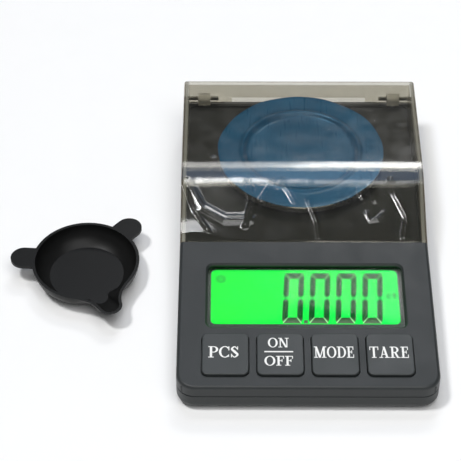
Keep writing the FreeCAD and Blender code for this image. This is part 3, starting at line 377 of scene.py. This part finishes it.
FINISHES = {
    "case_plastic": CASE,
    "key_plastic": KEY,
    "clear_cover": COVER,
    "clear_film": FILM,
    "blue_film": BLUE,
    "pan_steel": STEEL,
    "clear_window": WINDOW,
    "lit_display": GREEN,
    "backlight": moulded("backlight_look", (0.65, 0.95, 0.65), 0.3, depth_mm=0.004),
    "contact_rubber": moulded("contact_rubber_look", (0.42, 0.10, 0.08), 0.6, grain_mm=0.2),
    "circuit_board": moulded("circuit_board_look", (0.012, 0.16, 0.06), 0.35, depth_mm=0.01),
    "chip_resin": moulded("chip_resin_look", (0.015, 0.015, 0.015), 0.5),
    "switch_plastic": moulded("switch_plastic_look", (0.06, 0.06, 0.06), 0.5),
    "cell_steel": metal("cell_steel_look", (0.68, 0.68, 0.67), 0.18),
    "contact_metal": metal("contact_metal_look", (0.72, 0.69, 0.62), 0.28, (1, 0.1, 1)),
    "wire_red": moulded("wire_red_look", (0.5, 0.012, 0.012), 0.35, depth_mm=0.004),
    "wire_black": moulded("wire_black_look", (0.015, 0.015, 0.015), 0.35, depth_mm=0.004),
    "wire_white": moulded("wire_white_look", (0.75, 0.75, 0.72), 0.35, depth_mm=0.004),
    "beam_aluminium": metal("beam_aluminium_look", (0.80, 0.80, 0.81), 0.3, (0.08, 1, 1)),
    "silicone": moulded("silicone_look", (0.80, 0.80, 0.76), 0.5, grain_mm=1.2, depth_mm=0.05),
    "screw_steel": SCREW,
    "foot_rubber": moulded("foot_rubber_look", (0.03, 0.03, 0.03), 0.75, grain_mm=0.2,
                           depth_mm=0.03),
    "tray_plastic": TRAY,
}

# the hinge lies behind many clear walls, so it is a plain pale solid, its colour painted to match
# the light seen through the clear walls around it
HINGE_PAINTED_SEE_THROUGH = moulded("hinge_painted_see_through_look", (0.62, 0.61, 0.56), 0.25, depth_mm=0.002)
OWN_LOOKS = {"hinge_lugs": HINGE_PAINTED_SEE_THROUGH, "hinge_pins": HINGE_PAINTED_SEE_THROUGH}


def dress_nodes():
    """Gives every CAD node the look of its material slot, or its own look."""
    for subpart in frame["record"]["subparts"]:
        data = NODES[subpart["node"]].data
        data.materials.clear()
        slot_look = FINISHES[subpart["material_slot"]]
        data.materials.append(OWN_LOOKS.get(subpart["node"], slot_look))


# ---- Making flat pieces from outlines --------------------------------------------------------

def prism(bm, outline, low, high):
    """A closed solid on a flat outline."""
    bottom = [bm.verts.new((x, y, low)) for x, y in outline]
    top = [bm.verts.new((x, y, high)) for x, y in outline]
    bm.faces.new(bottom[::-1])
    bm.faces.new(top)
    for here in range(len(outline)):
        after = (here + 1) % len(outline)
        bm.faces.new((bottom[here], bottom[after], top[after], top[here]))


def band(bm, inner, outer, low, high):
    """A closed flat ring between two loops of as many points."""
    rings = [[bm.verts.new((x, y, z)) for x, y in loop]
             for loop, z in ((inner, low), (outer, low), (outer, high), (inner, high))]
    for here in range(len(inner)):
        after = (here + 1) % len(inner)
        for side in range(4):
            first, second = rings[side], rings[(side + 1) % 4]
            bm.faces.new((first[here], first[after], second[after], second[here]))


def finish_piece(name, mesh, material, body):
    mesh.materials.clear()
    mesh.materials.append(material)
    thing = mesh_object(name, mesh)
    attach(thing, body)
    return thing


def mesh_from(name, bm, place):
    """The mesh of a build in millimetres, put in place in metres."""
    bmesh.ops.recalc_face_normals(bm, faces=bm.faces)
    bm.transform(place @ Matrix.Scale(MM, 4))
    mesh = bpy.data.meshes.new(name)
    bm.to_mesh(mesh)
    bm.free()
    return mesh


def flat_piece(name, outlines, low, high, material, body, place=PANEL):
    bm = bmesh.new()
    for outline in outlines:
        prism(bm, outline, low, high)
    return finish_piece(name, mesh_from(name, bm, place), material, body)


def rounded_rectangle(x0, y0, x1, y1, radius, steps=6):
    points = []
    for corner, (x, y) in enumerate(((x1 - radius, y1 - radius), (x0 + radius, y1 - radius),
                                     (x0 + radius, y0 + radius), (x1 - radius, y0 + radius))):
        for step in range(steps + 1):
            turn = math.radians(90 * (corner + step / steps))
            points.append((x + radius * math.cos(turn), y + radius * math.sin(turn)))
    return points


def circle(x, y, radius, steps=36):
    return [(x + radius * math.cos(math.tau * step / steps),
             y + radius * math.sin(math.tau * step / steps)) for step in range(steps)]


# ---- Display ---------------------------------------------------------------------------------

GLASS_TOP_MM = -2.05
DIGIT_PITCH_MM = 7.8
DIGIT_LEFT_MM = -7.1
DIGIT_FRONT_MM = 24.3
DIGIT_WIDTH_MM = 6.0
DIGIT_LENGTH_MM = 19.6
LEAN = 0.055


def lean(points, left):
    """Points of a digit's own box, leaned to the right and set on the panel."""
    return [(left + x + LEAN * y, DIGIT_FRONT_MM + y) for x, y in points]


def zero_segments():
    """The six segments of a nought: the two bars, and the four uprights with a point inside."""
    width, length, stroke, bar, gap = DIGIT_WIDTH_MM, DIGIT_LENGTH_MM, 1.65, 2.25, 0.22
    middle, point = length / 2, 0.9
    upper_bar = [(gap + 0.25, length), (width - gap - 0.25, length),
                 (width - stroke - gap / 2, length - bar), (stroke + gap / 2, length - bar)]
    upper_left = [(0, length - gap - 1.1), (0.35, length - gap - 0.5),
                  (stroke, length - bar - gap), (stroke, middle + gap + point),
                  (stroke / 2, middle + gap), (0, middle + gap + point)]
    half = [upper_bar, upper_left, [(width - x, y) for x, y in upper_left]]
    return half + [[(x, length - y) for x, y in outline] for outline in half]


def zero_gaps():
    """The four slanting gaps at a nought's corners, pale with a painted highlight."""
    width, length, stroke, bar, gap = DIGIT_WIDTH_MM, DIGIT_LENGTH_MM, 1.65, 2.25, 0.2
    corner = [(0.28, length - 0.42), (0.45, length - 0.1),
              (stroke + gap / 2, length - bar), (stroke, length - bar - gap)]
    top = [corner, [(width - x, y) for x, y in corner]]
    return top + [[(x, length - y) for x, y in outline] for outline in top]


def make_display():
    ink_top = GLASS_TOP_MM + 0.03
    half_width, front, rear = 29.9, 20.5, 46.5
    bm = bmesh.new()
    band(bm, rounded_rectangle(-27.9, 24.0, 27.6, 45.1, 1.6),
         rounded_rectangle(-half_width, front, half_width, rear, 0.4),
         GLASS_TOP_MM, GLASS_TOP_MM + 0.035)
    finish_piece("display_mask", mesh_from("display_mask", bm, PANEL), MASK, "case")
    lefts = [DIGIT_LEFT_MM + place * DIGIT_PITCH_MM for place in range(4)]
    segments = [lean(outline, left) for left in lefts for outline in zero_segments()]
    point_left = lefts[1] - 1.35
    segments.append(lean([(0, 0), (1.1, 0), (1.1, 1.25), (0, 1.25)], point_left))
    flat_piece("display_segments", segments, GLASS_TOP_MM, ink_top, INK, "case")
    # the gaps are coloured with a painted highlight
    gaps = [lean(outline, left) for left in lefts for outline in zero_gaps()]
    flat_piece("display_segment_gaps", gaps, GLASS_TOP_MM, ink_top, GAP_PAINTED_HIGHLIGHT, "case")
    marks = bmesh.new()
    ring_x, ring_along = -25.0, 41.5
    band(marks, circle(ring_x, ring_along, 0.90), circle(ring_x, ring_along, 1.35),
         GLASS_TOP_MM, ink_top)
    unit_x, unit_along, unit_height = 23.9, 34.0, 2.3
    for outline in unit_outlines(unit_x, unit_along, unit_height):
        prism(marks, outline, GLASS_TOP_MM, ink_top)
    finish_piece("display_marks", mesh_from("display_marks", marks, PANEL), FAINT, "case")


def unit_outlines(x, along, height):
    """The small unit letters c and t."""
    letter_c = bowl(0.42, 0.36, 0.40, 0.40, 40, 320, 0.2, 0.17)
    letter_t = [bar(0.98, 0.0, 1.18, 0.95), bar(1.181, 0.62, 1.4, 0.76),
                bar(0.82, 0.62, 0.979, 0.76), bar(1.181, 0.0, 1.42, 0.14)]
    return [[(x + px * height, along + py * height) for px, py in outline]
            for outline in [letter_c, *letter_t]]


# ---- Printed words on the keys -----------------------------------------------------------------

STEM, HAIR = 0.165, 0.07


def bar(x0, y0, x1, y1):
    return [(x0, y0), (x1, y0), (x1, y1), (x0, y1)]


def slant(x0, y0, x1, y1, width):
    """A leaning stroke of level width, from its foot to its top."""
    return [(x0, y0), (x0 + width, y0), (x1 + width, y1), (x1, y1)]


def bowl(x, y, radius_x, radius_y, start, end, thick_x, thick_y, steps=20):
    """Part of an oval ring, heavier at its sides than at its top and bottom."""
    turns = [math.radians(start + (end - start) * step / steps) for step in range(steps + 1)]
    outer = [(x + radius_x * math.cos(turn), y + radius_y * math.sin(turn)) for turn in turns]
    inner = [(x + (radius_x - thick_x) * math.cos(turn),
              y + (radius_y - thick_y) * math.sin(turn)) for turn in turns]
    return outer + inner[::-1]


def ring(x, radius_x, thick_x):
    return [bowl(x, 0.5, radius_x, 0.51, start, start + 181, thick_x, HAIR)
            for start in (90, 270)]


def stroke(points, widths, steps=8):
    """A smooth stroke through points, of changing width."""
    spots = [Vector(point) for point in points]
    spots = [2 * spots[0] - spots[1], *spots, 2 * spots[-1] - spots[-2]]
    breadths = [widths[0], *widths, widths[-1]]
    line, half = [], []
    for index in range(1, len(spots) - 2):
        before, start, end, after = spots[index - 1:index + 3]
        for step in range(steps + (index == len(spots) - 3)):
            t = step / steps
            line.append(0.5 * (2 * start + (end - before) * t
                               + (2 * before - 5 * start + 4 * end - after) * t * t
                               + (3 * start - before - 3 * end + after) * t ** 3))
            half.append((breadths[index] * (1 - t) + breadths[index + 1] * t) / 2)
    left, right = [], []
    for index, spot in enumerate(line):
        ahead = line[min(index + 1, len(line) - 1)] - line[max(index - 1, 0)]
        across = Vector((-ahead.y, ahead.x)).normalized() * half[index]
        left.append(tuple(spot + across))
        right.append(tuple(spot - across))
    return left + right[::-1]


def stem(x):
    """An upright with its serif at the foot."""
    return [bar(x, 0, x + STEM, 1), bar(x - 0.11, 0, x + STEM + 0.11, HAIR)]


def arms(end):
    """The top and middle arms of E and F, with their serifs."""
    return [bar(0, 1 - HAIR, end, 1), bar(end - 0.07, 0.72, end, 0.99),
            bar(0.2, 0.48, 0.47, 0.48 + HAIR), bar(0.42, 0.38, 0.48, 0.66)]


LETTERS = {
    "P": (0.70, [*stem(0.11), bar(0, 1 - HAIR, 0.4, 1), bar(0.2, 0.44, 0.4, 0.44 + HAIR),
                 bowl(0.38, 0.72, 0.32, 0.28, -92, 92, STEM, HAIR)]),
    "C": (0.76, [bowl(0.42, 0.5, 0.42, 0.51, 42, 318, STEM, HAIR), bar(0.66, 0.64, 0.73, 0.98),
                 bar(0.66, 0.06, 0.71, 0.27)]),
    "S": (0.58, [stroke([(0.49, 0.76), (0.29, 0.965), (0.10, 0.76), (0.29, 0.52), (0.49, 0.25),
                         (0.27, 0.035), (0.07, 0.26)],
                        [0.06, 0.08, 0.15, 0.20, 0.15, 0.08, 0.06]),
                 bar(0.47, 0.68, 0.53, 0.99), bar(0.04, 0.01, 0.10, 0.33)]),
    "O": (0.82, ring(0.41, 0.41, STEM)),
    "N": (0.88, [bar(0.12, 0, 0.21, 1), bar(0.0, 0, 0.33, HAIR), bar(0.67, 0, 0.76, 1),
                 bar(0.55, 1 - HAIR, 0.88, 1), slant(0.57, 0, 0.11, 1, 0.17),
                 bar(0.0, 1 - HAIR, 0.2, 1)]),
    "F": (0.62, [*stem(0.11), *arms(0.60)]),
    "M": (1.08, [bar(0.13, 0, 0.22, 1), bar(0.01, 0, 0.34, HAIR), bar(0.79, 0, 0.79 + STEM, 1),
                 bar(0.67, 0, 1.08, HAIR), slant(0.42, 0.0, 0.10, 1, 0.18),
                 slant(0.48, 0.0, 0.80, 1, 0.09), bar(0.01, 1 - HAIR, 0.24, 1),
                 bar(0.85, 1 - HAIR, 1.08, 1)]),
    "D": (0.79, [*stem(0.11), bar(0, 1 - HAIR, 0.4, 1), bar(0.2, 0, 0.4, HAIR),
                 bowl(0.37, 0.5, 0.42, 0.5, -92, 92, STEM, HAIR)]),
    "E": (0.66, [*stem(0.11), *arms(0.60), bar(0.2, 0, 0.63, HAIR), bar(0.57, 0.01, 0.63, 0.29)]),
    "T": (0.72, [*stem(0.265), bar(0, 1 - HAIR, 0.72, 1), bar(0.0, 0.70, 0.06, 0.99),
                 bar(0.66, 0.70, 0.72, 0.99)]),
    "A": (0.84, [slant(0.11, 0, 0.37, 1, 0.08), slant(0.56, 0, 0.31, 1, 0.17),
                 bar(0.2, 0.28, 0.6, 0.28 + HAIR), bar(0, 0, 0.30, HAIR),
                 bar(0.46, 0, 0.84, HAIR)]),
    "R": (0.82, [*stem(0.11), bar(0, 1 - HAIR, 0.4, 1), bar(0.2, 0.45, 0.4, 0.45 + HAIR),
                 bowl(0.38, 0.725, 0.32, 0.275, -92, 92, STEM, HAIR),
                 slant(0.55, 0, 0.32, 0.5, 0.17), bar(0.52, 0, 0.82, HAIR)]),
}
LETTER_SPACE = 0.05


def word_outlines(word, middle, front, width, height):
    """Outlines of a word, its letters squeezed to the width, on a base line along the panel."""
    natural = sum(LETTERS[letter][0] for letter in word) + LETTER_SPACE * (len(word) - 1)
    squeeze = width / natural
    pen, outlines = 0.0, []
    for letter in word:
        advance, shapes = LETTERS[letter]
        for shape in shapes:
            outlines.append([(middle - width / 2 + (pen + x) * squeeze, front + y * height)
                             for x, y in shape])
        pen += advance + LETTER_SPACE
    return outlines


def joined_mesh(name, outlines, low, high, place):
    """One clean solid from outlines that overlap."""
    parts = []
    for group in (outlines[:1], outlines[1:]):
        bm = bmesh.new()
        for outline in group:
            prism(bm, outline, low, high)
        bmesh.ops.recalc_face_normals(bm, faces=bm.faces)
        mesh = bpy.data.meshes.new(name)
        bm.to_mesh(mesh)
        bm.free()
        parts.append(mesh_object(name + "_part", mesh))
    union = parts[0].modifiers.new("union", "BOOLEAN")
    union.operation = "UNION"
    union.solver = "EXACT"
    union.use_self = True
    union.object = parts[1]
    graph = bpy.context.evaluated_depsgraph_get()
    mesh = bpy.data.meshes.new_from_object(parts[0].evaluated_get(graph))
    mesh.transform(place @ Matrix.Scale(MM, 4))
    for part in parts:
        bpy.data.objects.remove(part)
    return mesh


def make_key_words():
    low, high = KEY_TOP_MM - 0.04, KEY_TOP_MM + 0.03
    cap, small_cap = 4.1, 3.5
    words = {
        "key_pcs": [("PCS", -24.05, 9.2, 8.7, cap)],
        "key_on_off": [("ON", -8.35, 12.95, 6.0, small_cap), ("OFF", -8.3, 6.3, 8.2, small_cap)],
        "key_mode": [("MODE", 7.5, 9.2, 11.5, cap)],
        "key_tare": [("TARE", 23.25, 9.2, 11.2, cap)],
    }
    for body, lines in words.items():
        outlines = []
        for line in lines:
            outlines += word_outlines(*line)
        if len(lines) > 1:
            outlines.append(bar(-12.4, 11.15, -4.15, 11.6))
        name = body + "_word"
        mesh = joined_mesh(name, outlines, low, high, PANEL)
        finish_piece(name, mesh, PRINT, body)


# ---- Films -----------------------------------------------------------------------------------

COVER_FRONT_MM = (-6.2, 12.4)
COVER_BEND_MM = (16.9, 20.0)
BEND_RADIUS_MM = 30.0
SLOPE = math.atan2(COVER_BEND_MM[1] - COVER_FRONT_MM[1], COVER_BEND_MM[0] - COVER_FRONT_MM[0])
BEND_REACH_MM = BEND_RADIUS_MM * math.tan(SLOPE / 2)

# ridges in the film, each a line of (across, Y) places with its height and half width
CREASES = [
    ([(-17.2, 12.7), (-15.3, 6.7), (-17.8, -1.2)], 1.0, 0.75),
    ([(-12.9, 7.4), (-10.6, 11.0), (-9.1, 14.0), (-8.2, 11.5)], 0.55, 0.45),
    ([(-6.2, 14.3), (-5.4, 11.5), (-2.8, 6.8)], 0.65, 0.5),
    ([(2.5, 13.3), (1.6, 6.8)], 0.7, 0.45),
    ([(1.6, 6.8), (4.1, -0.1), (4.6, -5.3)], 0.45, 0.6),
    ([(26.9, 14.3), (28.0, 9.5)], 0.9, 0.55),
    ([(28.0, 9.5), (31.6, 1.2), (30.2, -5.0)], 0.6, 0.75),
    ([(17.4, 10.9), (17.9, 8.3)], 0.5, 0.5),
    ([(21.1, 11.8), (21.9, 7.0)], 0.6, 0.55),
    ([(19.2, 3.0), (20.2, 0.4), (22.4, 0.8), (24.6, 3.2)], 0.35, 0.4),
    ([(-36.6, 13.3), (-33.6, 4.6), (-29.0, -3.0)], 0.9, 0.45),
    ([(-35.6, 13.4), (-31.0, 4.6), (-24.0, 0.6), (-16.5, 0.8)], 0.5, 1.3),
    ([(-29.8, 29.5), (-28.3, 25.2), (-27.6, 23.8)], 0.25, 0.5),
    ([(22.5, 51.0), (23.5, 42.0)], 0.05, 1.8),
    ([(31.0, 45.0), (32.0, 40.0)], 0.05, 1.5),
]


def cover_point(run):
    """(Y, Z, lean of the surface) at a distance back from the cover's front edge."""
    rise = math.hypot(COVER_BEND_MM[0] - COVER_FRONT_MM[0],
                      COVER_BEND_MM[1] - COVER_FRONT_MM[1]) - BEND_REACH_MM
    if run < rise:
        return (COVER_FRONT_MM[0] + run * math.cos(SLOPE),
                COVER_FRONT_MM[1] + run * math.sin(SLOPE), SLOPE)
    turned = (run - rise) / BEND_RADIUS_MM
    flat_start = COVER_BEND_MM[0] + BEND_REACH_MM
    if turned < SLOPE:
        left = SLOPE - turned
        return (flat_start - BEND_RADIUS_MM * math.sin(left),
                COVER_BEND_MM[1] - BEND_RADIUS_MM * (1 - math.cos(left)), left)
    return flat_start + run - rise - BEND_RADIUS_MM * SLOPE, COVER_BEND_MM[1], 0.0


def distance_to_line(spot, line):
    nearest = 1e9
    for start, end in zip(line, line[1:]):
        along = Vector(end) - Vector(start)
        share = max(0.0, min(1.0, (spot - Vector(start)).dot(along) / along.length_squared))
        nearest = min(nearest, (spot - Vector(start) - along * share).length)
    return nearest


def crease_height(spot):
    height = 0.0
    for line, peak, half_width in CREASES:
        reach = 3.2 * half_width
        xs, ys = [point[0] for point in line], [point[1] for point in line]
        if (min(xs) - reach < spot.x < max(xs) + reach
                and min(ys) - reach < spot.y < max(ys) + reach):
            away = distance_to_line(spot, line) / half_width
            height = max(height, peak * math.exp(-away * away))
    return height


def make_cover_film():
    """Thin loose film over the cover's slope and top, with a curled front corner."""
    width, columns, rows = 74.6, 210, 190
    run_start, run_end = 0.6, 65.9  # along the cover's surface, from its front edge
    curl_x, curl_width, curl_front, curl_depth = -33.0, 7.0, -5, 4.0
    clearance, wave_height, ripple_height = 0.10, 0.05, 0.008
    bm = bmesh.new()
    grid = []
    for row in range(rows + 1):
        line = []
        for column in range(columns + 1):
            x = width * (column / columns - 0.5)
            curl = math.exp(-((x - curl_x) / curl_width) ** 2)
            start = run_start + 2.4 * curl
            run = start + (run_end - start) * row / rows
            y, z, angle = cover_point(run)
            waves = noise.noise(Vector((x / 11, y / 9, 0.3))) * wave_height + 0.16
            ripple = noise.noise(Vector((x / 3.1, y / 4.3, 7.1))) * ripple_height
            lift = clearance + waves + ripple + crease_height(Vector((x, y)))
            lift += 0.5 * curl * math.exp(-((y - curl_front) / curl_depth) ** 2)
            line.append(bm.verts.new((x, y - lift * math.sin(angle), z + lift * math.cos(angle))))
        grid.append(line)
    for row in range(rows):
        for column in range(columns):
            bm.faces.new((grid[row][column], grid[row][column + 1],
                          grid[row + 1][column + 1], grid[row + 1][column]))
    for face in bm.faces:
        face.smooth = True
    film = finish_piece("loose_film", mesh_from("loose_film", bm, Matrix.Identity(4)), FILM,
                        "cover")
    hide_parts("cover_film")


def make_pan_film():
    """Blue film pressed over the pan, its edge cut a little unevenly past the pan's edge."""
    low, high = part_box("pan_film")
    middle = (low + high) / 2
    centre = Vector((middle.x, middle.y)) / MM
    radius = (high.x - low.x) / 2 / MM
    flange, floor, step = 14.1, 13.3, 18.75  # the pan's two levels and its bead's radius
    # (radius, height) from the middle outwards
    profile = [(0, floor + 0.1), (4, floor + 0.1), (9, floor + 0.1), (13.5, floor + 0.1),
               (step - 2.4, floor + 0.1), (step - 1.5, floor + 0.14), (step - 1.05, floor + 0.6),
               (step - 0.7, flange + 0.2), (step - 0.3, flange + 0.42), (step, flange + 0.48),
               (step + 0.3, flange + 0.38), (step + 0.65, flange + 0.13),
               (step + 1.4, flange + 0.1),
               (22.0, flange + 0.1), (24.0, flange + 0.1), (25.2, flange + 0.1),
               (radius - 0.25, flange + 0.09), (radius, flange + 0.05)]
    steps, uneven_cut, wave_height, wave_length = 180, 0.35, 0.05, 4
    bm = bmesh.new()
    rings = []
    for distance, height in profile[1:]:
        loop = []
        for turn in range(steps):
            angle = math.tau * turn / steps
            out = distance
            if distance > radius - 0.1:
                out += uneven_cut * noise.noise(
                    Vector((3 * math.cos(angle), 3 * math.sin(angle), 1)))
            x, y, wave = out * math.cos(angle), out * math.sin(angle), 0.0
            if distance < step - 2:
                wave = wave_height * noise.noise(
                    Vector((x / wave_length, y / wave_length, 2.0)))
            loop.append(bm.verts.new((centre.x + x, centre.y + y, height + wave)))
        rings.append(loop)
    hub = bm.verts.new((centre.x, centre.y, profile[0][1]))
    for here in range(steps):
        after = (here + 1) % steps
        bm.faces.new((hub, rings[0][here], rings[0][after]))
        for inner, outer in zip(rings, rings[1:]):
            bm.faces.new((inner[here], outer[here], outer[after], inner[after]))
    for face in bm.faces:
        face.smooth = True
    film = finish_piece("blue_pan_film", mesh_from("blue_pan_film", bm, Matrix.Identity(4)),
                        BLUE, "pan")
    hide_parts("pan_film")


# ---- Build -----------------------------------------------------------------------------------

add_camera()
set_world(0.75, 0.05)
add_floor(FLOOR, 12.0)
add_sun((-0.40, -0.05, 1.0), 1.34, 9)
# name, place, target, power, width, length and colour; the bend in the cover mirrors the
# strips as two bright bands with a bluish glow between them
LAMPS = [
    ("overhead", (0.14, -0.46, 1.02), (0, 0, 0), 6.3, 0.8, 0.8, (1, 1, 1)),
    ("strip_rear", (0.17, 0.79, 0.94), (0, 0.02, 0.02), 1.6, 0.26, 0.18, (1, 1, 1)),
    ("strip_rear_left", (-0.06, 0.79, 0.94), (0, 0.02, 0.02), 0.42, 0.20, 0.18, (1, 1, 1)),
    ("glow_between", (0.0, 0.50, 1.00), (0, 0.02, 0.02), 0.52, 0.8, 0.36, (0.66, 0.92, 1.45)),
    ("strip_top", (-0.08, 0.31, 1.0), (0, 0.0, 0.02), 0.62, 0.18, 0.10, (1, 1, 1)),
    ("strip_top_right", (0.07, 0.29, 1.0), (0, 0.0, 0.02), 0.10, 0.14, 0.06, (1, 1, 1)),
]
for lamp_row in LAMPS:
    add_light(*lamp_row)
dress_nodes()
make_display()
make_key_words()
make_cover_film()
make_pan_film()
bpy.context.scene.view_settings.view_transform = "Standard"
bpy.context.view_layer.update()
